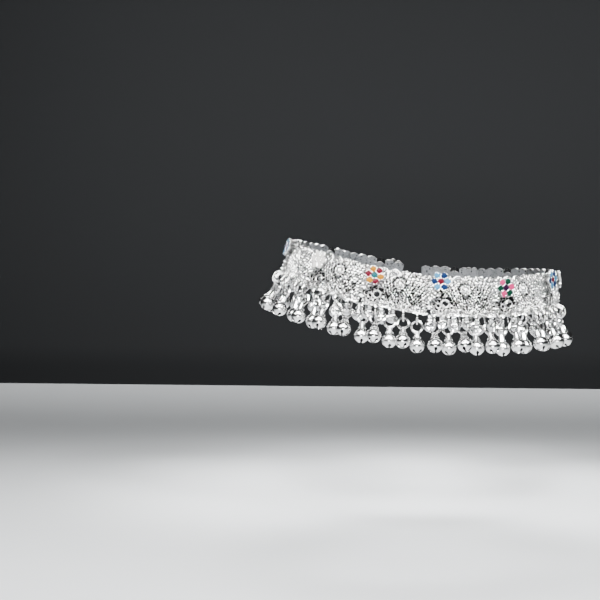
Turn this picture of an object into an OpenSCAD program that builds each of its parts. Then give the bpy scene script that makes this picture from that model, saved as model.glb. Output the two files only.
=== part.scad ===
// Anklet of pierced metal plates, enamel flowers and jingle bells, worn round an ankle.
// +Z is up, +X points to the heel and -Y to the side that shows. The origin is the loop's centre.

/* [Loop] */
// Half of the loop's length, toe to heel
loop_a = 45.5; // [44:0.5:52]
// Half of the loop's width
loop_b = 37.5; // [34:0.5:40]
// How far the toe end rises above the middle, and the heel end falls
loop_tilt = 5.2; // [0:0.2:8]
// How far the front and the back dip
loop_dip = 5; // [0:0.2:7]
// Sharpness of the dip
dip_power = 2.8; // [2:0.2:4]
// Lift that brings the loop's middle to the origin
loop_lift = 3; // [0:0.5:5]
// Lean of the band's front, bottom outwards, in degrees
flare_front = 14; // [5:1:20]
// Lean of the band's toe end
flare_toe = 20; // [5:1:22]
// Lean of the band's heel end
flare_heel = 3; // [0:1:10]

/* [Band] */
// Length of one plate with its gap
pitch = 21.3; // [20.8:0.1:21.4]
// Gap between two plates
joint_gap = 0.5; // [0.4:0.1:0.8]
// Thickness of the plates
plate_t = 0.7; // [0.6:0.1:0.7]
// Height of the band's top above its middle line
band_top = 6.5; // [6:0.1:7]
// Depth of the band's bottom below its middle line
band_bottom = 6.5; // [6.3:0.1:7]
// Number of scallops on a plate
scallops = 6; // [5:1:7]
// Radius of a scallop
scallop_r = 2.3; // [2:0.1:2.6]
// Depth of the notch between two scallops
scallop_notch = 0.6; // [0.4:0.1:0.8]
// Radius of the bottom rail
rail_r = 0.4; // [0.3:0.05:0.4]

/* [Fringe] */
// Bells on a plate
bells_per_plate = 5; // [3:1:5]
// Radius of a bell
bell_r = 2.4; // [2:0.05:2.4]
// Wall of a bell
bell_wall = 0.3; // [0.2:0.05:0.4]
// Distance from a link's top wire to its bell's middle
drop = 11.3; // [11:0.1:12.5]
// Radius of a link, to the middle of its wire
link_r = 2.2; // [2.15:0.05:2.3]
// Radius of a link's wire
link_wire = 0.3; // [0.25:0.05:0.3]
// Radius of a bell's ring, to the middle of its wire
ring_r = 1.75; // [1.7:0.05:1.75]
// Radius of that ring's wire
ring_wire = 0.4; // [0.3:0.05:0.4]
// Middle of the drops' lean away from the ankle at the front, in degrees
lean_front = 23; // [22:1:24]
// The same at the toe end
lean_toe = 24; // [23:1:26]
// The same at the heel end
lean_heel = 12; // [11:1:14]

/* [Flower] */
// Radius of a cup
cup_r = 1.05; // [1:0.05:1.1]
// Wall of a cup
cup_wall = 0.17; // [0.12:0.01:0.2]
// Distance from the flower's middle to a petal's middle
petal_at = 2; // [1.95:0.05:2.05]

/* [Hidden] */
$fn = 48;
plates = 12;
// Plate 7 carries the flower nearest the middle of the side that shows
front_plate = 6;
// Where the front plate begins, along the band from the middle of the front
front_start = 3;
clearance = 0.1;

// Each plate's flower: colours of the centre, the first and the second three petals,
// height of its middle, turn in degrees and lift above the plate
CENTRE = 0;
FIRST = 1;
SECOND = 2;
FLOWER_V = 3;
FLOWER_TURN = 4;
FLOWER_LIFT = 5;
FLOWERS = [
    ["red", "light_blue", "navy", 3.6, 4, 1.2],
    ["plum", "pink", "green", 3.0, -5, 1.0],
    ["teal", "orange", "red", 3.2, 6, 0.9],
    ["red", "light_blue", "navy", 3.8, -3, 1.2],
    ["pearl", "pearl", "pearl", 3.2, 5, 0.9],
    ["teal", "orange", "red", 3.2, -8, 0.9],
    ["red", "light_blue", "navy", 4.4, -2, 1.4],
    ["plum", "pink", "green", 2.8, 3, 1.0],
    ["red", "light_blue", "navy", 4.2, 5, 1.2],
    ["teal", "orange", "red", 3.2, -6, 0.9],
    ["pearl", "pearl", "pearl", 3.0, 4, 0.9],
    ["plum", "pink", "green", 3.4, -4, 1.0],
];
flower_u = 3.1;
// The pierced gaps: one under the boss, and one in the scroll under the flower
boss_u = 11.2;
under_boss_v = 0.2;
under_boss_r = 0.55;
scroll_u = 4.6;
scroll_v = -2.5;
scroll_hole_r = 0.85;
cup_h = 0.9;
cup_floor = 0.3;
fill_gap = 0.05;
fill_dome_r = 2.4;

// The loop's middle line, and its length up to each degree
function point_at(t) = [
    loop_a * sin(t),
    -loop_b * cos(t),
    loop_lift - loop_tilt * sin(t) - loop_dip * pow(abs(cos(t)), dip_power),
];
LENGTHS = [
    for (t = 0, s = 0; t <= 360; s = s + norm(point_at(t + 1) - point_at(t)), t = t + 1) [s, t]
];
loop_length = LENGTHS[360][0];
function angle_at(s) = lookup((s % loop_length + loop_length) % loop_length, LENGTHS);
function unit(v) = v / norm(v);
function flare_at(t) = let (side = (flare_toe + flare_heel) / 2 - (flare_toe - flare_heel) / 2 * sin(t))
    side + (flare_front - (flare_toe + flare_heel) / 2) * pow(cos(t), 2);

// A frame is its origin, its direction along the band, inwards and up
function leaned(p, along, f) = let (
    level = unit(cross(along, [0, 0, 1])),
    square_up = cross(level, along),
    up = cos(f) * square_up - sin(f) * level
) [p, along, -cross(along, up), up];
function joint_frame(k) = let (t = angle_at(front_start + (k - front_plate) * pitch))
    leaned(point_at(t), unit(point_at(t + 0.5) - point_at(t - 0.5)), flare_at(t));
clasp_start = front_start + (plates - front_plate) * pitch;
clasp_length = loop_length - plates * pitch;

// A plate's frame at the middle of its chord, with its radius and the chord's height under the arc
FRAME = 0;
RADIUS = 1;
SAGITTA = 2;
LENGTH = 3;
function arc_of(s, l) = let (
    p0 = point_at(angle_at(s)),
    pm = point_at(angle_at(s + l / 2)),
    p1 = point_at(angle_at(s + l)),
    f = leaned((p0 + p1) / 2, unit(p1 - p0), flare_at(angle_at(s + l / 2))),
    sagitta = -(pm - f[0]) * f[2],
    half = norm(p1 - p0) / 2
) [f, (half * half + sagitta * sagitta) / (2 * sagitta), sagitta, l];
ARCS = [for (k = [0:plates - 1]) arc_of(front_start + (k - front_plate) * pitch, pitch)];
CLASP_ARC = arc_of(clasp_start, clasp_length);

// Place on a plate's middle face: u along the plate from its left end, v up
function plate_angle(arc, u) = (u - arc[LENGTH] / 2) / arc[RADIUS] * 180 / PI;
function on_arc(arc, u, v) = let (
    a = plate_angle(arc, u),
    x = arc[RADIUS] * sin(a),
    y = arc[RADIUS] - arc[SAGITTA] - arc[RADIUS] * cos(a)
) arc[FRAME][0] + x * arc[FRAME][1] + y * arc[FRAME][2] + v * arc[FRAME][3];
function outward(arc, u) = let (a = plate_angle(arc, u)) sin(a) * arc[FRAME][1] - cos(a) * arc[FRAME][2];

// The bell links' holes, and the joint rings' holes
bell_step = pitch / bells_per_plate;
bell_u0 = 1;
link_v = 1 + rail_r - band_bottom - 0.05;
link_hole_r = 0.6;
JOINT_RING_V = [-1.1, -3.8];
joint_ring_u = 1.25;
joint_ring_wire = 0.28;
joint_hole_r = 0.55;

// A joint ring goes through a hole on each side of the gap, and bows a little past their middles
joint_ring_bow = 0.03;
function ring_frame(k, v) = let (
    left = k == 0 ? CLASP_ARC : ARCS[k - 1],
    right = k == plates ? CLASP_ARC : ARCS[k],
    left_u = left[LENGTH] - joint_ring_u,
    a = on_arc(left, left_u, v),
    b = on_arc(right, joint_ring_u, v),
    along = unit(b - a),
    up = unit(cross(along, -outward(left, left_u) - outward(right, joint_ring_u)))
) [(a + b) / 2, along, cross(up, along), up, norm(b - a) / 2 + joint_ring_bow];
RING_RADIUS = 4;

// How the drops hang: gravity with a lean off the ankle, more at the toe end than at the heel.
// The bells are wider than their places, so they lie in turn further out and further in, and a slow
// wave runs through that. Each bell is turned a little on its link, and its slots lie a step further
// round than those of the bell before.
lean_in_turn = 6.5;
lean_wave = 2.5;
wave_step = 45;
twist_most = 14;
twist_step = 97;
slot_step = 29;
function bell_number(k, i) = (k - front_plate) * bells_per_plate + i;
function lean_at(k, i) = let (
    t = angle_at(front_start + (k - front_plate) * pitch + bell_u0 + i * bell_step),
    side = (lean_toe + lean_heel) / 2 - (lean_toe - lean_heel) / 2 * sin(t)
) side + (lean_front - side) * pow(cos(t), 2)
    + lean_in_turn * cos(180 * bell_number(k, i)) + lean_wave * sin(wave_step * bell_number(k, i));
function drop_frame(k, i) = let (
    u = bell_u0 + i * bell_step,
    o = outward(ARCS[k], u),
    level = unit([o[0], o[1], 0]),
    lean = lean_at(k, i),
    up = [0, 0, cos(lean)] - sin(lean) * level,
    inward = -cos(lean) * level - [0, 0, sin(lean)]
) [on_arc(ARCS[k], u, link_v), cross(inward, up), inward, up];

module in_frame(f) {
    multmatrix([
        [f[1][0], f[2][0], f[3][0], f[0][0]],
        [f[1][1], f[2][1], f[3][1], f[0][1]],
        [f[1][2], f[2][2], f[3][2], f[0][2]],
        [0, 0, 0, 1],
    ]) children();
}

// Children lie on the plate's middle face with +Z outwards, +X along the plate and +Y up
module on_plate(arc, u, v) {
    in_frame(arc[FRAME])
        translate([0, arc[RADIUS] - arc[SAGITTA], 0])
        rotate([0, 0, plate_angle(arc, u)])
        translate([0, -arc[RADIUS], v])
        rotate([90, 0, 0]) children();
}

module torus(r, wire) {
    rotate_extrude() translate([r, 0]) circle(wire);
}

// A curved wall between two heights, that runs past its plate's ends
past_end = 0.9;
module curved_wall(arc, low, high) {
    turn = plate_angle(arc, arc[LENGTH] + past_end);
    in_frame(arc[FRAME])
        translate([0, arc[RADIUS] - arc[SAGITTA], 0])
        rotate([0, 0, -90 - turn])
        rotate_extrude(angle = 2 * turn, $fn = 240)
        translate([arc[RADIUS] - plate_t / 2, low]) square([plate_t, high - low]);
}

module rail(arc) {
    turn = plate_angle(arc, arc[LENGTH] + past_end);
    in_frame(arc[FRAME])
        translate([0, arc[RADIUS] - arc[SAGITTA], 0])
        rotate([0, 0, -90 - turn])
        rotate_extrude(angle = 2 * turn, $fn = 240)
        translate([arc[RADIUS], rail_r - band_bottom]) circle(rail_r, $fn = 24);
}

// Removes what lies past the plate's ends, with half of the gap at each
module past_ends(start, end) {
    past = 4;
    tall = 24;
    size = [past + joint_gap / 2, 2 * past, tall];
    in_frame(start) translate([-past, -past, -tall / 2]) cube(size);
    in_frame(end) translate([-joint_gap / 2, -past, -tall / 2]) cube(size);
}

// All that lies above the scalloped outline, whose round lobes stand on the notches' level
module above_scallops(arc) {
    step = pitch / scallops;
    deep = 8;
    difference() {
        in_frame(arc[FRAME])
            translate([-pitch, -deep / 2, band_top - scallop_notch]) cube([2 * pitch, deep, 2 * scallop_r]);
        for (i = [0:scallops - 1])
            on_plate(arc, (i + 0.5) * step, band_top - scallop_r) cylinder(r = scallop_r, h = 1.5 * deep, center = true);
    }
}

// A leaf is a fan of tapered ribs, each further along, higher and turned from the one before
module leaf(arc, ribs, u, step, lean, turn, length, shorter = 0) {
    foot_v = -4.3;
    rise = 0.35;
    foot_r = 0.42;
    tip_r = 0.18;
    for (i = [0:ribs - 1])
        on_plate(arc, u + i * step, foot_v + i * rise)
            translate([0, 0, plate_t / 2]) rotate([-90, 0, lean + i * turn])
            cylinder(r1 = foot_r, r2 = tip_r, h = length - i * shorter);
}

// Raised boss with a leaf on each side of it, as cast
module boss_and_leaves(arc) {
    boss_v = 1.9;
    boss_r = 0.95;
    on_plate(arc, boss_u, boss_v) translate([0, 0, plate_t / 2]) sphere(boss_r);
    leaf(arc, ribs = 5, u = 13.3, step = 1.25, lean = 28, turn = -8, length = 5.6);
    leaf(arc, ribs = 4, u = 9.4, step = -1.1, lean = -20, turn = 14, length = 4.6, shorter = 0.3);
}

// Round cuts through the plate at the same height above or below its middle line
module drilled(arc, places, v, r) {
    through = 6;
    for (u = places) on_plate(arc, u, v) cylinder(r = r, h = through, center = true);
}
module joint_holes(arc) {
    for (v = JOINT_RING_V) drilled(arc, [joint_ring_u, arc[LENGTH] - joint_ring_u], v, joint_hole_r);
}
module holes(arc) {
    joint_holes(arc);
    drilled(arc, [for (i = [0:bells_per_plate - 1]) bell_u0 + i * bell_step], link_v, link_hole_r);
    drilled(arc, [boss_u], under_boss_v, under_boss_r);
    drilled(arc, [scroll_u], scroll_v, scroll_hole_r);
}

// A wire scroll round the pierced gap under the flower
module scroll(arc) {
    wire = 0.25;
    ledge = 0.12;
    on_plate(arc, scroll_u, scroll_v)
        translate([0, 0, plate_t / 2]) torus(scroll_hole_r + ledge + wire, wire, $fn = 24);
}

// Children stand in the middle of each cup, at the height of its foot
module at_cups(k, which) {
    flower = FLOWERS[k];
    on_plate(ARCS[k], flower_u, flower[FLOWER_V])
        translate([0, 0, plate_t / 2 + flower[FLOWER_LIFT]])
        rotate([0, 0, flower[FLOWER_TURN]]) {
            if (which == "all" || flower[CENTRE] == which) children();
            for (i = [0:5])
                if (which == "all" || flower[i % 2 == 0 ? FIRST : SECOND] == which)
                    rotate([0, 0, 60 * i]) translate([petal_at, 0, 0]) children();
        }
}

// The cups stand on a stem that is soldered to the plate
module flower_setting(k) {
    lift = FLOWERS[k][FLOWER_LIFT];
    stem_r = 1.6;
    difference() {
        union() {
            at_cups(k, "all") cylinder(r = cup_r, h = cup_h, $fn = 32);
            on_plate(ARCS[k], flower_u, FLOWERS[k][FLOWER_V])
                cylinder(r = stem_r, h = plate_t / 2 + lift + cup_floor / 2);
        }
        at_cups(k, "all") translate([0, 0, cup_floor]) cylinder(r = cup_r - cup_wall, h = cup_h, $fn = 32);
    }
}

module section(k) {
    arc = ARCS[k];
    color("silver") difference() {
        union() {
            difference() {
                union() {
                    curved_wall(arc, rail_r - band_bottom, band_top + scallop_notch);
                    rail(arc);
                }
                above_scallops(arc);
                past_ends(joint_frame(k), joint_frame(k + 1));
            }
            boss_and_leaves(arc);
            scroll(arc);
            flower_setting(k);
        }
        holes(arc);
    }
}

// The hidden closing piece is a plain plate, as high as its rings need
module clasp() {
    margin = 1.3;
    color("silver") difference() {
        curved_wall(CLASP_ARC, min(JOINT_RING_V) - margin, max(JOINT_RING_V) + margin);
        past_ends(joint_frame(plates), joint_frame(0));
        joint_holes(CLASP_ARC);
    }
}

// Two rings at each joint pass through the holes on both sides of the gap
module section_rings() {
    color("silver") for (k = [0:plates], v = JOINT_RING_V)
        let (f = ring_frame(k, v)) in_frame(f) torus(f[RING_RADIUS], joint_ring_wire, $fn = 32);
}

module bell_links() {
    color("silver") for (k = [0:plates - 1], i = [0:bells_per_plate - 1])
        in_frame(drop_frame(k, i))
            translate([0, 0, -link_r]) rotate([0, 90, 0]) torus(link_r, link_wire, $fn = 40);
}

// Two slots cross under a bell, each between two round holes
module bell_cuts(turn) {
    slot = 0.5;
    hole_r = 0.5;
    hole_at = 1.45;
    deep = 2 * bell_r;
    for (way = [turn, turn + 90])
        rotate([0, 0, way]) translate([0, 0, -drop - deep]) {
            translate([-hole_at, -slot / 2, 0]) cube([2 * hole_at, slot, deep]);
            for (side = [-1, 1]) translate([side * hole_at, 0, 0]) cylinder(r = hole_r, h = deep);
        }
}

// A hollow bell with its collar and the ring that it hangs on
module bell(turn) {
    ring_at = 2 * link_r - link_wire - ring_wire - clearance + ring_r;
    collar_foot = -drop + bell_r - 0.2;
    collar_top = -ring_at - ring_r + 0.1;
    difference() {
        union() {
            translate([0, 0, -ring_at]) rotate([90, 0, 0]) torus(ring_r, ring_wire, $fn = 40);
            translate([0, 0, collar_foot]) cylinder(r1 = 1.25, r2 = 0.7, h = collar_top - collar_foot);
            translate([0, 0, -drop]) sphere(bell_r);
        }
        translate([0, 0, -drop]) sphere(bell_r - bell_wall);
        bell_cuts(turn);
    }
}

module bells() {
    color("silver") for (k = [0:plates - 1], i = [0:bells_per_plate - 1])
        in_frame(drop_frame(k, i))
            rotate([0, 0, twist_most * sin(twist_step * bell_number(k, i))])
            bell(slot_step * bell_number(k, i));
}

// Slightly domed fill of vitreous enamel, just clear of its cup
module enamel(which, shade) {
    fill_r = cup_r - cup_wall - fill_gap;
    proud = 0.1;
    fill_h = cup_h - cup_floor - fill_gap + proud;
    color(shade) for (k = [0:plates - 1])
        at_cups(k, which) translate([0, 0, cup_floor + fill_gap]) intersection() {
            cylinder(r = fill_r, h = fill_h, $fn = 32);
            translate([0, 0, fill_h - fill_dome_r]) sphere(fill_dome_r, $fn = 96);
        }
}

section(0);  // section_01
section(1);  // section_02
section(2);  // section_03
section(3);  // section_04
section(4);  // section_05
section(5);  // section_06
section(6);  // section_07
section(7);  // section_08
section(8);  // section_09
section(9);  // section_10
section(10);  // section_11
section(11);  // section_12
clasp();
section_rings();
bell_links();
bells();
enamel("orange", "orange");  // enamel_orange
enamel("red", "crimson");  // enamel_red
enamel("teal", "teal");  // enamel_teal
enamel("light_blue", "skyblue");  // enamel_light_blue
enamel("navy", "navy");  // enamel_navy
enamel("pink", "hotpink");  // enamel_pink
enamel("green", "darkgreen");  // enamel_green
enamel("plum", "indigo");  // enamel_plum
enamel("pearl", "ivory");  // enamel_pearl
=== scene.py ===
# A worn anklet of pierced, silver-plated plates with enamel flowers and a fringe of jingle bells.
# The file follows the making: the cast plates with their relief, wires and flower settings, then
# the links, bells, joint rings, clasp and enamel, and last the floor, the lights and the camera.
import math
import random
from collections import namedtuple

import bpy
import numpy as np
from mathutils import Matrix, Vector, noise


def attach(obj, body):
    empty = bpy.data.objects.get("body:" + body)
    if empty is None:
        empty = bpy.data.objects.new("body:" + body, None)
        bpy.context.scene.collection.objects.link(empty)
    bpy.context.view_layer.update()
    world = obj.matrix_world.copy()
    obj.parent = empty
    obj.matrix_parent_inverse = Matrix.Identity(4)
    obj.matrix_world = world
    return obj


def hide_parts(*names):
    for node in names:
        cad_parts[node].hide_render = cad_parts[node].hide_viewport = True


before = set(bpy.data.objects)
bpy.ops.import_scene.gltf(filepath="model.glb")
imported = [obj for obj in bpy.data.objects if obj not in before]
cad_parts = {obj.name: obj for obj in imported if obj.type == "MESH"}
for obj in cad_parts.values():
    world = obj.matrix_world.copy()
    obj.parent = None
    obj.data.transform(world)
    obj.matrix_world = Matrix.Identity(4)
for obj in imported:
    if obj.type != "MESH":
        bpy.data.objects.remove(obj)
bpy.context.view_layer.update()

# The line of the band
# A chain of twelve cast plates that lies tilted round the ankle, high at the toe side and low at
# the heel. Each plate is bowed to its stretch of the loop, and its lower edge leans out. Pieces
# are modelled in millimetres and put on the loop in metres.
MM = 0.001
half_length, half_width = 45.5, 37.5
tilt, dip, dip_power, lift = 5.2, 5.0, 2.8, 3.0
flare_front, flare_toe, flare_heel = 14, 20, 3
plates, front_plate, front_start, pitch = 12, 6, 3, 21.3
plate_t, band_top, band_bottom, rail_r = 0.7, 6.5, 6.5, 0.4


def point_at(degrees):
    side, front = math.sin(math.radians(degrees)), math.cos(math.radians(degrees))
    height = lift - tilt * side - dip * abs(front) ** dip_power
    return np.array([half_length * side, -half_width * front, height])


degrees_round = range(361)
chords = np.diff([point_at(t) for t in degrees_round], axis=0)
length_to = np.concatenate([[0], np.cumsum(np.linalg.norm(chords, axis=1))])
loop_length = length_to[-1]


def angle_at(length):
    """Degrees round the loop at a length along its middle line."""
    return float(np.interp(length % loop_length, length_to, degrees_round))


def unit(v):
    return v / np.linalg.norm(v)


def flare_at(degrees):
    """How far the band's lower edge leans out, in radians."""
    sides = (flare_toe + flare_heel) / 2
    side = sides - (flare_toe - flare_heel) / 2 * math.sin(math.radians(degrees))
    return math.radians(side + (flare_front - sides) * math.cos(math.radians(degrees)) ** 2)


Plate = namedtuple("Plate", "middle along inward up radius sagitta length")


def bowed_plate(start, length):
    """A plate's chord middle, its directions and its bow, from where it starts on the loop."""
    first, middle, last = (point_at(angle_at(start + part * length)) for part in (0, 0.5, 1))
    along = unit(last - first)
    level = unit(np.cross(along, [0, 0, 1]))
    lean = flare_at(angle_at(start + length / 2))
    up = math.cos(lean) * np.cross(level, along) - math.sin(lean) * level
    inward = np.cross(up, along)
    sagitta = -(middle - (first + last) / 2) @ inward
    half = np.linalg.norm(last - first) / 2
    radius = (half**2 + sagitta**2) / (2 * sagitta)
    return Plate((first + last) / 2, along, inward, up, radius, sagitta, length)


PLATES = [bowed_plate(front_start + (k - front_plate) * pitch, pitch) for k in range(plates)]


def bent(points, plate):
    """Flat points (along, inward, up) on the plate's bow, still in millimetres."""
    turn = (points[:, 0:1] - plate.length / 2) / plate.radius
    out = plate.radius - points[:, 1:2]
    inward = plate.radius - plate.sagitta - out * np.cos(turn)
    level = plate.middle + out * np.sin(turn) * plate.along + inward * plate.inward
    return level + points[:, 2:3] * plate.up


def framed(points, origin, along, inward, up):
    """Points turned and moved as one rigid piece."""
    return origin + points[:, 0:1] * along + points[:, 1:2] * inward + points[:, 2:3] * up


def outward_at(plate, u):
    """Direction straight out of the plate's face, u millimetres along it."""
    turn = (u - plate.length / 2) / plate.radius
    return math.sin(turn) * plate.along - math.cos(turn) * plate.inward


# The cast ground of a plate
# White metal, centrifugally cast from a carved pattern and silver plated. A shell of beaded ribs
# spreads from below the plate over two low bulges, round a boss, with open work under the flower
# and lobes along the top. The slits and pits between the ribs look black against the plating.
scallops, scallop_r, scallop_notch = 6, 2.3, 0.6
scallop_step = pitch / scallops
open_scallop, open_scallop_cut = 2, 1.5
joint_gap = 0.5
columns, rows = 168, 100
drops_each = 5
link_u0, link_step, link_hole_r = 1.0, pitch / drops_each, 0.6
link_v = 1 + rail_r - band_bottom - 0.05
joint_u, JOINT_V, joint_hole_r = 1.25, (-1.1, -3.8), 0.55
flower_u = 3.1
boss_u, boss_v = 11.2, 1.9
under_boss_v, under_boss_r = 0.2, 0.55
scroll_u, scroll_v, scroll_r = 4.6, -2.5, 0.85
face_out, bulge_foot, bulge_rise = 0.22, 0.1, 0.26
shell_u, shell_v, rib_turn, rib_out, bead_out, bead_length = 11.5, -9.5, 4.8, 0.07, 0.13, 0.49
open_u, open_v, open_r = 3.4, -2.8, 3.2
lobe_foot, flutes, flute_out, flute_from = 3.9, 11, 0.1, 0.9
hem_r, hem_w, hem_out = 2.02, 0.26, 0.16
boss_ring_r, boss_ring_w, boss_ring_out = 1.45, 0.3, 0.2
slit_rows, slit_ribs, slit_reach, slit_step, slit_depth = 14, 13, 3.6, 0.9, 0.55
slit_ends, slit_low, slit_high, crowded_reach, boss_clear = 0.6, -4.9, 4.5, 7, 1.9
pit_depth, pit_floor, pit_wall, pit_rim_at, pit_rim_w, pit_rim_out = 0.7, 0.4, 0.3, 0.16, 0.24, 0.07
open_rows, open_columns, open_step_u, open_step_v = 9, 7, 1.1, 0.95
open_first_u, open_first_v, open_low = 0.4, -5.4, -5
boss_pits_at, boss_pit_r = 2.1, 0.36
ROUND_BOSS = np.radians(range(0, 360, 30))
grain_out, grain_per_mm = 0.09, 1.9

Pit = namedtuple("Pit", "u v r depth lean stretch")
Fan = namedtuple("Fan", "focus_u focus_v first last near far")
BULGES = [Fan(17.8, -13.0, -31, 9, 7.9, 16.6), Fan(7.6, -8.0, -24, 26, 2.9, 11.2)]
random.seed(7)


def soft(x):
    """A smooth step from 0 to 1."""
    x = np.clip(x, 0, 1)
    return x * x * (3 - 2 * x)


def top_of(u):
    """Height of the scalloped outline."""
    across = np.mod(u, scallop_step) - scallop_step / 2
    lobe = band_top - scallop_r + np.sqrt(np.maximum(scallop_r**2 - across**2, 0))
    cut = np.where(np.floor(u / scallop_step) == open_scallop, open_scallop_cut, 0.0)
    return np.maximum(lobe, band_top - scallop_notch) - cut


def inside_fan(fan, u, v):
    """How far a point lies inside a fan's edge, in millimetres."""
    reach = np.hypot(u - fan.focus_u, v - fan.focus_v)
    turn = np.degrees(np.arctan2(u - fan.focus_u, v - fan.focus_v))
    edge = np.minimum(turn - fan.first, fan.last - turn) * np.pi / 180 * reach
    return np.minimum(edge, np.minimum(reach - fan.near, fan.far - reach))


def pits():
    """Slits between the ribs of the shell, and round pits in the open work, round the boss and
    in the lobes."""
    made = []
    for row in range(slit_rows):
        for rib in range(-slit_ribs, slit_ribs):
            turn = math.radians((rib + 0.5 + random.uniform(-0.2, 0.2)) * rib_turn)
            reach = slit_reach + slit_step * (row + 0.5 * (rib % 2)) + random.uniform(-0.15, 0.15)
            u, v = shell_u + reach * math.sin(turn), shell_v + reach * math.cos(turn)
            off_open_work = math.hypot(u - open_u, v - open_v) > open_r
            off_boss = math.hypot(u - boss_u, v - boss_v) > boss_clear
            crowded = reach < crowded_reach and rib % 2
            on_plate = slit_ends < u < pitch - slit_ends and slit_low < v < slit_high
            if off_open_work and off_boss and on_plate and not crowded:
                lean, r = turn + random.uniform(-0.7, 0.7), random.uniform(0.12, 0.27)
                made.append(Pit(u, v, r, slit_depth, lean, random.uniform(1, 1.8)))
    for row in range(open_rows):
        for column in range(open_columns):
            across = open_step_u * (column + 0.5 * (row % 2))
            u = open_first_u + across + random.uniform(-0.15, 0.15)
            v = open_first_v + open_step_v * row + random.uniform(-0.15, 0.15)
            if math.hypot(u - open_u, v - open_v) < open_r and v > open_low:
                r, lean = random.uniform(0.32, 0.5), random.uniform(0, 3)
                made.append(Pit(u, v, r, pit_depth, lean, random.uniform(1, 1.4)))
    for turn in ROUND_BOSS:
        u, v = boss_u + boss_pits_at * math.cos(turn), boss_v + boss_pits_at * math.sin(turn)
        made.append(Pit(u, v, boss_pit_r, pit_depth, 0, 1))
    for lobe in range(scallops):
        if lobe != open_scallop:
            middle = (lobe + 0.5) * scallop_step
            made.append(Pit(middle + random.uniform(-0.2, 0.2), 5.2, 0.26, 0.6, 0, 1))
            for way in (-1.0, 1.0):
                made.append(Pit(middle + way, 4.85, 0.2, 0.5, 0.6 * way, 1.5))
    return made


def open_work(u, v):
    """Share of the open work under the flower, 1 inside and 0 on the ribbed ground."""
    return soft((open_r + 0.3 - np.hypot(u - open_u, v - open_v)) / 0.6)


def body(u, v):
    """The face without its fine relief: flat, with the two bulges in it."""
    height = np.full(u.shape, face_out)
    for fan in BULGES:
        inside = inside_fan(fan, u, v)
        height += soft(inside / 0.5) * (bulge_foot + bulge_rise * soft(inside / 2.6))
    return height


def relief(u, v):
    """How far the face stands out of the plate's middle, in millimetres."""
    height = body(u, v)
    reach = np.hypot(u - shell_u, v - shell_v)
    turn = np.degrees(np.arctan2(u - shell_u, v - shell_v))
    rib = np.cos(turn / rib_turn * 2 * np.pi)
    bead = np.cos(reach / bead_length * np.pi + np.floor(turn / rib_turn + 0.5) * np.pi)
    height += (1 - open_work(u, v)) * (rib_out * rib + bead_out * bead)
    middle = (np.floor(u / scallop_step) + 0.5) * scallop_step
    around = np.hypot(u - middle, v - (band_top - scallop_r))
    flute = np.cos(np.arctan2(u - middle, v - (band_top - scallop_r)) * flutes)
    hem = soft(1 - abs(around - hem_r) / hem_w)
    fluted = flute_out * flute * soft(around / flute_from)
    height += soft((v - lobe_foot) / 0.5) * (fluted + hem_out * hem)
    boss = np.hypot(u - boss_u, v - boss_v)
    height += boss_ring_out * soft(1 - abs(boss - boss_ring_r) / boss_ring_w)
    for pit in PITS:
        along = (u - pit.u) * math.sin(pit.lean) + (v - pit.v) * math.cos(pit.lean)
        across = (u - pit.u) * math.cos(pit.lean) - (v - pit.v) * math.sin(pit.lean)
        near = np.hypot(across, along / pit.stretch)
        rim = pit_rim_out * soft(1 - abs(near - pit.r - pit_rim_at) / pit_rim_w)
        hollow = soft((pit.r - near) / pit_wall + 0.5)
        height = (height + rim) * (1 - hollow) + hollow * (pit_floor - pit.depth)
    places = [Vector((a * grain_per_mm, b * grain_per_mm, 3.1)) for a, b in zip(u, v)]
    return height + np.array([grain_out * noise.noise(place) for place in places])


def only(piece):
    """Selects one object alone and makes it active, as an operator needs."""
    bpy.ops.object.select_all(action="DESELECT")
    piece.select_set(True)
    bpy.context.view_layer.objects.active = piece
    return piece


def points_of(piece):
    """An object's points as an array of rows."""
    flat = np.empty(len(piece.data.vertices) * 3, np.float32)
    piece.data.vertices.foreach_get("co", flat)
    return flat.reshape(-1, 3).astype(float)


def set_points(piece, points):
    piece.data.vertices.foreach_set("co", points.astype(np.float32).ravel())
    piece.data.update()


def placed(piece):
    """Moves an object's place into its mesh."""
    only(piece)
    bpy.ops.object.transform_apply(location=True, rotation=True, scale=True)
    return piece


def joined(parts, name):
    """One object out of several."""
    only(parts[0])
    for part in parts:
        part.select_set(True)
    bpy.ops.object.join()
    parts[0].name = name
    return parts[0]


PITS = pits()
bpy.ops.mesh.primitive_grid_add(x_subdivisions=columns, y_subdivisions=rows, size=1)
ground = bpy.context.object
flat = points_of(ground)
along_plate = joint_gap / 2 + (flat[:, 0] + 0.5) * (pitch - joint_gap)
rail_v = rail_r - band_bottom
# The grid's rows lie level up to level_v, and above it they rise to the scallops
risen, level_v, level_share = flat[:, 1] + 0.5, 4.2, 0.83
height_of = np.where(
    risen < level_share,
    rail_v + risen / level_share * (level_v - rail_v),
    level_v + (risen - level_share) / (1 - level_share) * (top_of(along_plate) - level_v),
)
set_points(ground, np.stack([along_plate, -relief(along_plate, height_of), height_of], 1))
# The face gets its thickness: its edge is drawn back, and one flat face closes the back
bpy.ops.object.mode_set(mode="EDIT")
bpy.ops.mesh.select_all(action="SELECT")
bpy.ops.mesh.region_to_loop()
bpy.ops.mesh.extrude_edges_move()
bpy.ops.transform.resize(value=(1, 0, 1), center_override=(0, plate_t / 2, 0))
bpy.ops.mesh.edge_face_add()
bpy.ops.mesh.select_all(action="SELECT")
bpy.ops.mesh.normals_make_consistent(inside=False)
bpy.ops.object.mode_set(mode="OBJECT")

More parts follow.
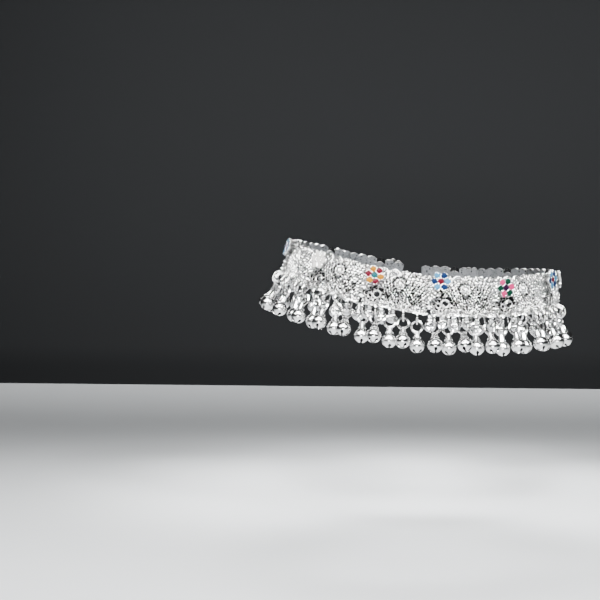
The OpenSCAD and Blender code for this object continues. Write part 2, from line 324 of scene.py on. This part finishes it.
# Holes through the ground: those of the links and joint rings, and the pierced ones
through = [(link_u0 + i * link_step, link_v, link_hole_r) for i in range(drops_each)]
through += [(u, v, joint_hole_r) for u in (joint_u, pitch - joint_u) for v in JOINT_V]
through += [(boss_u, under_boss_v, under_boss_r), (scroll_u, scroll_v, scroll_r)]
drills = []
for hole_u, hole_v, hole_r in through:
    bpy.ops.mesh.primitive_cylinder_add(
        vertices=16, radius=hole_r, depth=4, location=(hole_u, 0, hole_v), rotation=(math.pi / 2, 0, 0)
    )
    drills.append(placed(bpy.context.object))
drill = joined(drills, "drill")
only(ground)
cut = ground.modifiers.new("cut", "BOOLEAN")
cut.object = drill
cut.solver = "EXACT"
bpy.ops.object.modifier_apply(modifier="cut")
bpy.data.objects.remove(drill)

# The wires and granules of a plate
# Drawn silver wire soldered on the casting: a bottom rail of two strands twisted round a core, ring
# scrolls under the flower, rings round the link holes, and two thin arcs for the open scallop.
# Granules are melted wire ends, on the boss, in a ring round it and in each notch of the top.
core_r, strand_r, strand_at, strand_out, half_turn = 0.3, 0.2, 0.17, 0.2, 1.5
Scroll = namedtuple("Scroll", "u v out r wire_r around")
SCROLLS = [Scroll(scroll_u, scroll_v, 0.35, scroll_r + 0.37, 0.25, 24)]
SCROLLS += [Scroll(link_u0 + i * link_step, link_v, 0.36, 0.82, 0.17, 20) for i in range(drops_each)]
SCROLLS += [
    Scroll(2.5, -3.1, 0.32, 0.75, 0.2, 20),
    Scroll(6.7, -3.7, 0.32, 0.65, 0.2, 20),
    Scroll(3.1, -5.0, 0.32, 0.7, 0.2, 20),
]
ARCS = [(1.72, 0.2), (1.2, 0.16)]
granule_r, granule_at, notch_v = 0.26, 1.42, 5.35


def wire(points, r, sides=4, steps=3):
    """A wire through the points, as a closed tube with capped ends."""
    bpy.ops.object.select_all(action="DESELECT")
    bpy.ops.curve.primitive_nurbs_path_add()
    piece = bpy.context.object
    spline = piece.data.splines[0]
    spline.points.add(len(points) - len(spline.points))
    for point, place in zip(spline.points, points):
        point.co = (*place, 1)
    spline.order_u = 4
    spline.use_endpoint_u = True
    spline.resolution_u = steps
    piece.data.bevel_depth = r
    piece.data.bevel_resolution = sides - 2
    piece.data.use_fill_caps = True
    placed(piece)
    bpy.ops.object.convert(target="MESH")
    return bpy.context.object


def ring(u, v, out, r, wire_r, around):
    bpy.ops.mesh.primitive_torus_add(
        major_segments=around, minor_segments=8, major_radius=r, minor_radius=wire_r,
        location=(u, -out, v), rotation=(math.pi / 2, 0, 0),
    )
    return placed(bpy.context.object)


def granule(u, v, out, r, tall=1.0):
    bpy.ops.mesh.primitive_uv_sphere_add(segments=12, ring_count=8, radius=r, location=(u, -out, v))
    bpy.context.object.scale = (1, tall, 1)
    return placed(bpy.context.object)


ends = (joint_gap / 2, pitch - joint_gap / 2)
parts = [wire([(u, 0.02, rail_v) for u in np.linspace(*ends, 15)], core_r)]
for strand in (0, math.pi):
    twisted = []
    for u in np.linspace(*ends, 85):
        turn = u / half_turn * math.pi + strand
        out, up = strand_out + strand_at * math.cos(turn), strand_at * math.sin(turn)
        twisted.append((u, -out, rail_v + up))
    parts.append(wire(twisted, strand_r, sides=3, steps=1))
parts += [ring(*scroll) for scroll in SCROLLS]
arc_u, arc_v = (open_scallop + 0.5) * scallop_step, 4.5
turns = np.radians(np.linspace(-88, 88, 9))
for reach, wire_r in ARCS:
    arc = [(arc_u + reach * math.sin(t), -0.1, arc_v + (reach + 0.1) * math.cos(t)) for t in turns]
    parts.append(wire(arc, wire_r))
parts.append(granule(boss_u, boss_v, out=0.42, r=0.95, tall=0.9))
for t in ROUND_BOSS:
    u, v = boss_u + granule_at * math.cos(t), boss_v + granule_at * math.sin(t)
    parts.append(granule(u, v, out=0.42, r=granule_r))
for lobe in range(1, scallops):
    parts.append(granule(lobe * scallop_step, notch_v, out=0.3, r=0.33))
flat_plate = joined([ground] + parts, "flat_plate")

# The silver finishes
# Silver electroplate on white metal and brass, near white and mirror bright. Shade is painted into the
# slits and other recesses as near black colour, so one function makes each finish.


def linear(hex_colour):
    """An sRGB hex colour as the linear numbers that a shader takes."""
    parts = [int(hex_colour[i : i + 2], 16) / 255 for i in (1, 3, 5)]
    return [c / 12.92 if c <= 0.04045 else ((c + 0.055) / 1.055) ** 2.4 for c in parts] + [1.0]


def add_node(tree, kind, settings=None, **inputs):
    """Adds a node, sets its properties, and sets or links its inputs by name, or by number as _0."""
    node = tree.nodes.new(kind)
    for key, value in (settings or {}).items():
        setattr(node, key, value)
    for key, value in inputs.items():
        socket = node.inputs[int(key[1:])] if key[0] == "_" else node.inputs[key.replace("_", " ")]
        if isinstance(value, bpy.types.NodeSocket):
            tree.links.new(value, socket)
        else:
            socket.default_value = value
    return node


def silver(name, bright, recess_shade, rough, grain, pinhole_shade=0.0):
    """Bright silver plating, with shade painted in where the relief attribute says that it lies deep.

    The two colours are those of the open silver and of the painted shade in recesses, and rough gives
    their roughness. Grain is the skin's grain in millimetres, across and deep. The pinhole argument is
    how black the shade painted into the small casting holes is.
    """
    made = bpy.data.materials.new(name)
    made.use_nodes = True
    tree = made.node_tree
    shader = tree.nodes["Principled BSDF"]
    shader.inputs["Metallic"].default_value = 1.0
    place = add_node(tree, "ShaderNodeTexCoord").outputs["Object"]
    open_part = add_node(tree, "ShaderNodeAttribute", {"attribute_name": "relief"}).outputs["Fac"]
    tarnish = add_node(tree, "ShaderNodeTexNoise", Vector=place, Scale=1 / (2.5 * MM), Detail=3.0)
    uneven = add_node(
        tree, "ShaderNodeMath", {"operation": "MULTIPLY_ADD"},
        _0=tarnish.outputs["Fac"], _1=0.3, _2=-0.15,
    ).outputs[0]
    # The relief attribute with random tone added: 0 is painted shade, 1 is open bright silver
    out_of_shade_and_tone = add_node(
        tree, "ShaderNodeMath", {"operation": "ADD", "use_clamp": True}, _0=open_part, _1=uneven
    ).outputs[0]
    # Painted shade: black spots for the small casting holes
    if pinhole_shade:
        for size_mm, hole in ((1.15, 0.22), (0.62, 0.2)):
            spots = add_node(tree, "ShaderNodeTexVoronoi", Vector=place, Scale=1 / (size_mm * MM))
            filled = add_node(
                tree, "ShaderNodeMapRange", Value=spots.outputs["Distance"],
                From_Min=hole * 0.6, From_Max=hole * 1.3, To_Min=1 - pinhole_shade, To_Max=1.0,
            )
            out_of_shade_and_tone = add_node(
                tree, "ShaderNodeMath", {"operation": "MULTIPLY"}, _0=out_of_shade_and_tone, _1=filled.outputs[0]
            ).outputs[0]
    shine = add_node(tree, "ShaderNodeMath", {"operation": "POWER"}, _0=out_of_shade_and_tone, _1=1.7).outputs[0]
    colour = add_node(
        tree, "ShaderNodeMix", {"data_type": "RGBA"}, _0=shine, _6=linear(recess_shade), _7=linear(bright)
    ).outputs[2]
    roughness = add_node(
        tree, "ShaderNodeMapRange", Value=out_of_shade_and_tone, To_Min=rough[1], To_Max=rough[0]
    ).outputs[0]
    skin = add_node(tree, "ShaderNodeTexNoise", Vector=place, Scale=1 / (grain[0] * MM), Detail=4.0)
    bump = add_node(
        tree, "ShaderNodeBump", Height=skin.outputs["Fac"], Distance=grain[1] * MM, Strength=1.0
    )
    tree.links.new(colour, shader.inputs["Base Color"])
    tree.links.new(roughness, shader.inputs["Roughness"])
    tree.links.new(bump.outputs["Normal"], shader.inputs["Normal"])
    return made


# The plates' faces, with a fine cast skin, and their unpolished backs, rough and full of small casting
# holes. Both show these holes as black spots of painted shade. The backs' greyer colour is partly their
# unpolished finish and partly painted shade, so the far side of the loop reads darker.
cast_silver = silver(
    "cast_silver_plate", "#FAFAF8", "#08090A", rough=(0.22, 0.55), grain=(0.3, 0.03), pinhole_shade=0.95
)
back_silver = silver(
    "cast_silver_back", "#A8AAAC", "#141516", rough=(0.38, 0.6), grain=(0.8, 0.3), pinhole_shade=0.9
)


# Each piece carries how open its surface lies, from 0 in recesses, painted fully in shade, to 1 on
# open bright silver
def mark_shade(piece, openness):
    mark = piece.data.attributes.new("relief", "FLOAT", "POINT")
    mark.data.foreach_set("value", np.clip(openness, 0, 1).astype(np.float32))


# Painted shade on the plates: the fine relief's recesses go black, the open work under the flower is 40
# per cent darker, and the backs take a fixed grey
flat = points_of(flat_plate)
out = -flat[:, 1]
back_out, back_openness, black_below, bright_above = -0.3, 0.7, -0.22, 0.12
fine = out - body(flat[:, 0], flat[:, 2])
open_work_shade = 1 - 0.4 * open_work(flat[:, 0], flat[:, 2])
openness = open_work_shade * soft((fine - black_below) / (bright_above - black_below))
mark_shade(flat_plate, np.where(out < back_out, back_openness, openness))
flat_plate.data.materials.append(cast_silver)
flat_plate.data.materials.append(back_silver)
for face in flat_plate.data.polygons:
    face.material_index = 1 if face.center.y > -back_out else 0

# The flower settings
# Seven drawn cups round a stem, soldered together and on the plate. Their thin rims are spread
# open and burnished bright, and each holds a fill of enamel.
cup_r, cup_wall, cup_h, cup_floor, rim_round, petal_at = 1.12, 0.09, 0.9, 0.3, 0.06, 2.1
# The colours of the centre and of each second petal, and the middle's height, turn and lift
Flower = namedtuple("Flower", "centre first second v turn lift")
FLOWERS = [
    Flower("red", "light_blue", "navy", 3.6, 4, 1.2),
    Flower("plum", "pink", "green", 3.0, -5, 1.0),
    Flower("teal", "orange", "red", 3.2, 6, 0.9),
    Flower("red", "light_blue", "navy", 3.8, -3, 1.2),
    Flower("pearl", "pearl", "pearl", 3.2, 5, 0.9),
    Flower("teal", "orange", "red", 3.2, -8, 0.9),
    Flower("red", "light_blue", "navy", 4.4, -2, 1.4),
    Flower("plum", "pink", "green", 2.8, 3, 1.0),
    Flower("red", "light_blue", "navy", 4.2, 5, 1.2),
    Flower("teal", "orange", "red", 3.2, -6, 0.9),
    Flower("pearl", "pearl", "pearl", 3.0, 4, 0.9),
    Flower("plum", "pink", "green", 3.4, -4, 1.0),
]


def flower_frame(k):
    """Where a plate's flower stands: its middle, and its directions sideways, up and outward."""
    seat = bent(np.array([[flower_u, 0, FLOWERS[k].v]]), PLATES[k])[0]
    outward = outward_at(PLATES[k], flower_u)
    return seat, np.cross(PLATES[k].up, outward), PLATES[k].up, outward


def cup_middles(flower):
    """The foot of each of the six petals and of the centre, with the colour of its fill."""
    foot = plate_t / 2 + flower.lift
    for petal in range(6):
        at = math.radians(60 * petal + flower.turn)
        colour = flower.second if petal % 2 else flower.first
        yield np.array([petal_at * math.cos(at), petal_at * math.sin(at), foot]), colour
    yield np.array([0, 0, foot]), flower.centre


bpy.ops.mesh.primitive_cylinder_add(
    vertices=24, radius=cup_r, depth=cup_h, location=(0, 0, cup_h / 2)
)
cup = placed(bpy.context.object)
bpy.ops.object.mode_set(mode="EDIT")
bpy.ops.mesh.select_mode(type="FACE")
bpy.ops.mesh.select_all(action="DESELECT")
bpy.ops.object.mode_set(mode="OBJECT")
for face in cup.data.polygons:
    face.select = face.normal.z > 0.9
bpy.ops.object.mode_set(mode="EDIT")
bpy.ops.mesh.inset(thickness=cup_wall)
bpy.ops.mesh.extrude_region_move(TRANSFORM_OT_translate={"value": (0, 0, cup_floor - cup_h)})
bpy.ops.object.mode_set(mode="OBJECT")
rounding = cup.modifiers.new("rounding", "BEVEL")
rounding.width = rim_round
rounding.segments = 2
rounding.angle_limit = math.radians(50)
bpy.ops.object.modifier_apply(modifier="rounding")
cup.data.materials.append(cast_silver)
cup_points = points_of(cup)


def own_copy(master, name, points):
    """A copy of a master with its own mesh, at the given points in millimetres."""
    piece = bpy.data.objects.new(name, master.data.copy())
    bpy.context.scene.collection.objects.link(piece)
    set_points(piece, points * MM)
    return piece


stem_r = 1.6
flat_points = points_of(flat_plate)
pieces = []
for k, plate in enumerate(PLATES):
    parts = [own_copy(flat_plate, "plate", bent(flat_points, plate))]
    for middle, _ in cup_middles(FLOWERS[k]):
        part = own_copy(cup, "cup", framed(cup_points + middle, *flower_frame(k)))
        # Painted shade: each cup darker towards its foot, down among its neighbours and the plate
        mark_shade(part, 0.35 + 0.65 * soft(cup_points[:, 2] / cup_h))
        parts.append(part)
    foot = plate_t / 2 + FLOWERS[k].lift
    bpy.ops.mesh.primitive_cylinder_add(
        vertices=24, radius=stem_r, depth=foot, location=(0, 0, foot / 2)
    )
    stem = placed(bpy.context.object)
    stem.data.materials.append(cast_silver)
    part = own_copy(stem, "stem", framed(points_of(stem), *flower_frame(k)))
    bpy.data.objects.remove(stem)
    # Painted shade: the stem under the cups is kept dark
    mark_shade(part, np.full(len(part.data.vertices), 0.3))
    parts.append(part)
    pieces.append(joined(parts, "plate_%02d" % (k + 1)))
for master in (flat_plate, cup):
    bpy.data.objects.remove(master)


def finished(piece, node):
    """Gives a piece smooth faces and its place in the frame."""
    only(piece)
    bpy.ops.object.shade_smooth_by_angle(angle=math.radians(40))
    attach(piece, "root")
    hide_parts(node)


for k, piece in enumerate(pieces):
    finished(piece, "section_%02d" % (k + 1))

# The bell links
# Rings of round silver wire, bent on a mandrel through the band's holes and closed by hand. Drawn
# wire is smooth and bright all round, with shade painted in where it faces the ring's own middle.
link_r, link_wire, ring_r, ring_wire, clearance, drop = 2.2, 0.3, 1.75, 0.4, 0.1, 11.3
lean_front, lean_toe, lean_heel, lean_in_turn, lean_wave, wave_step = 23, 24, 12, 6.5, 2.5, 45
twist_most, twist_step = 14, 97


def drop_number(k, i):
    """A drop's place in the row, counted from the front plate's first."""
    return (k - front_plate) * drops_each + i


def drop_frame(k, i):
    """Where the drop hangs from a plate: its origin, and its directions along, inward and up."""
    plate, u = PLATES[k], link_u0 + i * link_step
    number = drop_number(k, i)
    t = angle_at(front_start + (k - front_plate) * pitch + u)
    wave = lean_in_turn * (-1) ** number + lean_wave * math.sin(math.radians(wave_step * number))
    side = (lean_toe + lean_heel) / 2 - (lean_toe - lean_heel) / 2 * math.sin(math.radians(t))
    lean = math.radians(side + (lean_front - side) * math.cos(math.radians(t)) ** 2 + wave)
    level = unit(outward_at(plate, u) * [1, 1, 0])
    up = np.array([0, 0, math.cos(lean)]) - math.sin(lean) * level
    inward = -math.cos(lean) * level - np.array([0, 0, math.sin(lean)])
    return bent(np.array([[u, 0, link_v]]), plate)[0], np.cross(inward, up), inward, up


DROPS = [(k, i) for k in range(plates) for i in range(drops_each)]
bpy.ops.mesh.primitive_torus_add(
    major_segments=36, minor_segments=10, major_radius=link_r, minor_radius=link_wire,
    location=(0, 0, -link_r), rotation=(0, math.pi / 2, 0),
)
link = placed(bpy.context.object)


def inner_shade(points, middle_z, r, wire_r, across):
    """The openness of a ring of wire: low, as painted shade, where it faces the ring's own middle."""
    reach = np.hypot(points[:, across], points[:, 2] - middle_z)
    return 0.3 + 0.7 * soft((reach - r + wire_r) / wire_r)


mark_shade(link, inner_shade(points_of(link), -link_r, link_r, link_wire, 1))
drawn_silver = silver("drawn_silver_wire", "#F6F6F4", "#2A2B2D", rough=(0.14, 0.4), grain=(0.9, 0.006))
link.data.materials.append(drawn_silver)
link_points = points_of(link)
hung = [own_copy(link, "link", framed(link_points, *drop_frame(k, i))) for k, i in DROPS]
bpy.data.objects.remove(link)
finished(joined(hung, "bell_wires"), "bell_links")

# The jingle bells
# Two halves pressed from thin plated brass and closed at a seam, with two slots that cross below,
# each between round holes. A tapered collar is soldered on top, and the ring that hangs in the
# link to it. Pressed plating is the brightest of all, darker along the seam and round the cap, and
# its inside is painted in shade.
bell_r, bell_wall = 2.4, 0.3
slot_w, hole_r, hole_at, slot_step = 0.5, 0.5, 1.45, 29
seam_wire, collar_foot_r, collar_top_r, collar_wire = 0.1, 1.25, 0.7, 0.13
collar_sunk, ring_sunk = 0.2, 0.1
darkening, seam_darkening_w, cap_darkening_from, cap_darkening_w = 0.5, 0.55, 1.7, 0.4
bpy.ops.mesh.primitive_uv_sphere_add(segments=26, ring_count=15, radius=bell_r, location=(0, 0, -drop))
bell = placed(bpy.context.object)
wall = bell.modifiers.new("wall", "SOLIDIFY")
wall.thickness = bell_wall
wall.offset = -1
bpy.ops.object.modifier_apply(modifier="wall")
cutters = []
for way in (0, math.pi / 2):
    bpy.ops.mesh.primitive_cube_add(size=1, location=(0, 0, -drop - bell_r), rotation=(0, 0, way))
    bpy.context.object.scale = (2 * hole_at, slot_w, 2 * bell_r)
    cutters.append(placed(bpy.context.object))
    for reach in (-hole_at, hole_at):
        bpy.ops.mesh.primitive_cylinder_add(
            vertices=16, radius=hole_r, depth=2 * bell_r,
            location=(reach * math.cos(way), reach * math.sin(way), -drop - bell_r),
        )
        cutters.append(placed(bpy.context.object))
for cutter in cutters:
    only(bell)
    cut = bell.modifiers.new("cut", "BOOLEAN")
    cut.object = cutter
    cut.solver = "EXACT"
    bpy.ops.object.modifier_apply(modifier="cut")
    bpy.data.objects.remove(cutter)
from_middle = np.linalg.norm(points_of(bell) + [0, 0, drop], axis=1)
above_seam = points_of(bell)[:, 2] + drop
seam_darkening = darkening * soft(1 - abs(above_seam) / seam_darkening_w)
cap_darkening = darkening * soft((above_seam - cap_darkening_from) / cap_darkening_w)
# Painted shade: the bell's inside wall goes dark. It is darker along the seam and round the cap too.
mark_shade(bell, soft((from_middle - bell_r + bell_wall) / bell_wall) - seam_darkening - cap_darkening)
ring_at = 2 * link_r - link_wire - ring_wire - clearance + ring_r
collar_foot, collar_top = -drop + bell_r - collar_sunk, -ring_at - ring_r + ring_sunk
trims = []
bpy.ops.mesh.primitive_torus_add(
    major_segments=26, minor_segments=5, major_radius=bell_r - 0.04, minor_radius=seam_wire,
    location=(0, 0, -drop),
)
trims.append(placed(bpy.context.object))
bpy.ops.mesh.primitive_cone_add(
    vertices=20, radius1=collar_foot_r, radius2=collar_top_r, depth=collar_top - collar_foot,
    location=(0, 0, (collar_top + collar_foot) / 2),
)
trims.append(placed(bpy.context.object))
for bead_z, bead_r in [(collar_foot + 0.25, 1.2), (collar_top - 0.5, 0.8)]:
    bpy.ops.mesh.primitive_torus_add(
        major_segments=18, minor_segments=5, major_radius=bead_r, minor_radius=collar_wire,
        location=(0, 0, bead_z),
    )
    trims.append(placed(bpy.context.object))
bpy.ops.mesh.primitive_torus_add(
    major_segments=28, minor_segments=8, major_radius=ring_r, minor_radius=ring_wire,
    location=(0, 0, -ring_at), rotation=(math.pi / 2, 0, 0),
)
for trim in trims:
    mark_shade(trim, np.full(len(trim.data.vertices), 1.0))
hanging_ring = placed(bpy.context.object)
mark_shade(hanging_ring, inner_shade(points_of(hanging_ring), -ring_at, ring_r, ring_wire, 0))
hanger = joined(trims + [hanging_ring], "hanger")
pressed_silver = silver(
    "pressed_silver_plate", "#F6F6F5", "#1B1C1E", rough=(0.13, 0.45), grain=(1.1, 0.008)
)
for master in (bell, hanger):
    master.data.materials.append(pressed_silver)


def turned(points, degrees):
    """Points turned about the drop's own axis."""
    c, s = math.cos(math.radians(degrees)), math.sin(math.radians(degrees))
    return points @ np.array([[c, s, 0], [-s, c, 0], [0, 0, 1]])


bell_points, hanger_points = points_of(bell), points_of(hanger)
hung = []
for k, i in DROPS:
    number = drop_number(k, i)
    twist = twist_most * math.sin(math.radians(twist_step * number))
    hangs = drop_frame(k, i)
    slotted = turned(bell_points, twist + slot_step * number)
    hung.append(own_copy(bell, "bell", framed(slotted, *hangs)))
    hung.append(own_copy(hanger, "hanger", framed(turned(hanger_points, twist), *hangs)))
for master in (bell, hanger):
    bpy.data.objects.remove(master)
finished(joined(hung, "jingle_bells"), "bells")

# The joint rings and the clasp
# Small soldered rings of drawn wire, and a plain closing plate, cast and polished, at the far
# side. Both keep their shape from the frame.
for node, finish in (("section_rings", drawn_silver), ("clasp", cast_silver)):
    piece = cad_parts[node]
    mark_shade(piece, np.full(len(piece.data.vertices), 0.95))
    piece.data.materials.clear()
    piece.data.materials.append(finish)

# The enamel fills
# Opaque vitreous enamel, fired in the cups up to their rims, with a slight dome. The colours are
# deeper than they look, because the light that brings out the silver is strong. Clouds in the
# colour and a faint wave in the surface come from the firing.
ENAMELS = {
    "orange": "#744B00", "red": "#3E0210", "teal": "#02363A", "light_blue": "#2E5C78", "navy": "#041735",
    "pink": "#86224A", "green": "#042217", "plum": "#1A061A", "pearl": "#A3A19E",
}


def enamel(name, colour):
    """Enamel of one colour, clouded down to a shade four fifths as light."""
    made = bpy.data.materials.new("vitreous_enamel_" + name)
    made.use_nodes = True
    tree = made.node_tree
    shader = tree.nodes["Principled BSDF"]
    shader.inputs["Roughness"].default_value = 0.3
    shader.inputs["Specular IOR Level"].default_value = 0.05
    place = add_node(tree, "ShaderNodeTexCoord").outputs["Object"]
    clouds = add_node(tree, "ShaderNodeTexNoise", Vector=place, Scale=1 / (0.8 * MM), Detail=2.0)
    cloud = clouds.outputs["Fac"]
    shade = [c * 0.8 for c in linear(colour)[:3]] + [1.0]
    mixed = add_node(
        tree, "ShaderNodeMix", {"data_type": "RGBA"}, _0=cloud, _6=shade, _7=linear(colour)
    )
    wave = add_node(tree, "ShaderNodeBump", Height=cloud, Distance=0.02 * MM)
    tree.links.new(mixed.outputs[2], shader.inputs["Base Color"])
    tree.links.new(wave.outputs["Normal"], shader.inputs["Normal"])
    return made


fill_r, fill_edge, fill_top = cup_r - cup_wall + 0.01, 0.86, 1.0
bpy.ops.mesh.primitive_uv_sphere_add(segments=24, ring_count=10, radius=fill_r)
fill = bpy.context.object
flat = points_of(fill)
share = np.minimum(np.hypot(flat[:, 0], flat[:, 1]) / fill_r, 1)
domed = fill_edge + (fill_top - fill_edge) * (1 - share**2)
fill_points = np.column_stack([flat[:, :2], np.where(flat[:, 2] > -0.01, domed, cup_floor)])
for name, colour in ENAMELS.items():
    fills = []
    for k, flower in enumerate(FLOWERS):
        for middle, wanted in cup_middles(flower):
            if wanted == name:
                fills.append(own_copy(fill, "fill", framed(fill_points + middle, *flower_frame(k))))
    piece = joined(fills, name + "_fills")
    piece.data.materials.append(enamel(name, colour))
    finished(piece, "enamel_" + name)
bpy.data.objects.remove(fill)

# The studio
# A pale table of painted board, slightly glossy, and a dark paper wall behind it, against which
# the bright edge of the silver stands out. Sizes and places are in metres here.
sheet_end, table_front, table_back, floor_z = 3, -2, 0.347, -0.079
wall_y, wall_foot, wall_top = 0.6, -1, 2.5
sides = (-sheet_end, sheet_end)
bpy.ops.mesh.primitive_plane_add(size=1)
floor = bpy.context.object
floor.name = "floor"
set_points(floor, np.array([[x, y, floor_z] for y in (table_front, table_back) for x in sides]))
bpy.ops.mesh.primitive_plane_add(size=1)
wall = bpy.context.object
wall.name = "backdrop"
set_points(wall, np.array([[x, wall_y, z] for z in (wall_foot, wall_top) for x in sides]))
SHEETS = [(floor, "pale_table", "#C9CCCE", 0.4), (wall, "dark_wall", "#1C1E20", 0.9)]
for sheet, name, colour, roughness in SHEETS:
    paint = bpy.data.materials.new(name)
    paint.use_nodes = True
    tree = paint.node_tree
    shader = tree.nodes["Principled BSDF"]
    shader.inputs["Roughness"].default_value = roughness
    place = add_node(tree, "ShaderNodeTexCoord").outputs["Object"]
    speck = add_node(tree, "ShaderNodeTexNoise", Vector=place, Scale=1 / (25 * MM))
    mixed = add_node(
        tree, "ShaderNodeMix", {"data_type": "RGBA"}, _0=speck.outputs["Fac"],
        _6=[c * 0.96 for c in linear(colour)[:3]] + [1.0], _7=linear(colour),
    )
    tree.links.new(mixed.outputs[2], shader.inputs["Base Color"])
    sheet.data.materials.append(paint)


# Narrow strips with grids light the near side from close above, so the far side stays darker. One
# more lights the far side's own face from behind, for the other views.
def softbox(name, place, target, size, power, spread):
    """An area light of the given size in metres and power in watts, with a grid's spread in degrees."""
    bpy.ops.object.light_add(type="AREA", location=place)
    light = bpy.context.object
    light.name = name
    light.data.shape = "RECTANGLE"
    light.data.size, light.data.size_y = size
    light.data.energy = power
    light.data.spread = math.radians(spread)
    light.rotation_euler = (Vector(target) - Vector(place)).to_track_quat("-Z", "Y").to_euler()


softbox("left_strip", (-0.16, -0.16, 0.15), (-0.03, -0.02, -0.004), (0.16, 0.06), 0.1, 20)
softbox("middle_strip", (0, -0.19, 0.15), (0, -0.035, -0.006), (0.2, 0.06), 0.14, 20)
softbox("right_strip", (0.16, -0.16, 0.15), (0.03, -0.02, -0.004), (0.16, 0.06), 0.1, 20)
softbox("front", (0, -0.9, -0.03), (0, 0, 0), (0.9, 0.08), 0.4, 30)
softbox("behind", (0, 0.42, 0.45), (0, 0.04, 0), (0.8, 0.12), 0.7, 30)
softbox("table", (0, -0.35, 0.6), (0, -0.2, -0.079), (0.5, 0.3), 2.5, 45)
softbox("wall", (0, 0.15, 0.7), (0, 0.5, 0), (0.8, 0.2), 2.5, 60)

world = bpy.data.worlds.new("studio")
bpy.context.scene.world = world
world.use_nodes = True
tree = world.node_tree
way = add_node(tree, "ShaderNodeTexCoord").outputs["Generated"]
height = add_node(tree, "ShaderNodeSeparateXYZ", Vector=way).outputs["Z"]
sky = add_node(tree, "ShaderNodeMapRange", Value=height, From_Min=-0.1, From_Max=0.7).outputs[0]
tent = add_node(
    tree, "ShaderNodeMix", {"data_type": "RGBA"}, _0=sky, _6=linear("#4A4E54"), _7=linear("#F2F4F6")
)
tree.links.new(tent.outputs[2], tree.nodes["Background"].inputs["Color"])
tree.nodes["Background"].inputs["Strength"].default_value = 0.12

# The camera
# At the picture's angle: 3 degrees above the loop's middle, half a metre off, with the anklet right
# of the picture's middle.
distance, elevation = 0.5, math.radians(3)
focal_px, picture = 1462, 600
origin_x, origin_y = 421, 282.5
eye = (0, -distance * math.cos(elevation), distance * math.sin(elevation))
bpy.ops.object.camera_add(location=eye)
camera = bpy.context.object
turn_left = math.atan((origin_x - picture / 2) / focal_px)
look_down = elevation + math.atan((picture / 2 - origin_y) / focal_px)
camera.rotation_euler = (math.pi / 2 - look_down, 0, turn_left)
camera.data.sensor_width = 36
camera.data.lens = focal_px / picture * camera.data.sensor_width
camera.data.clip_start = 0.01
bpy.context.scene.camera = camera
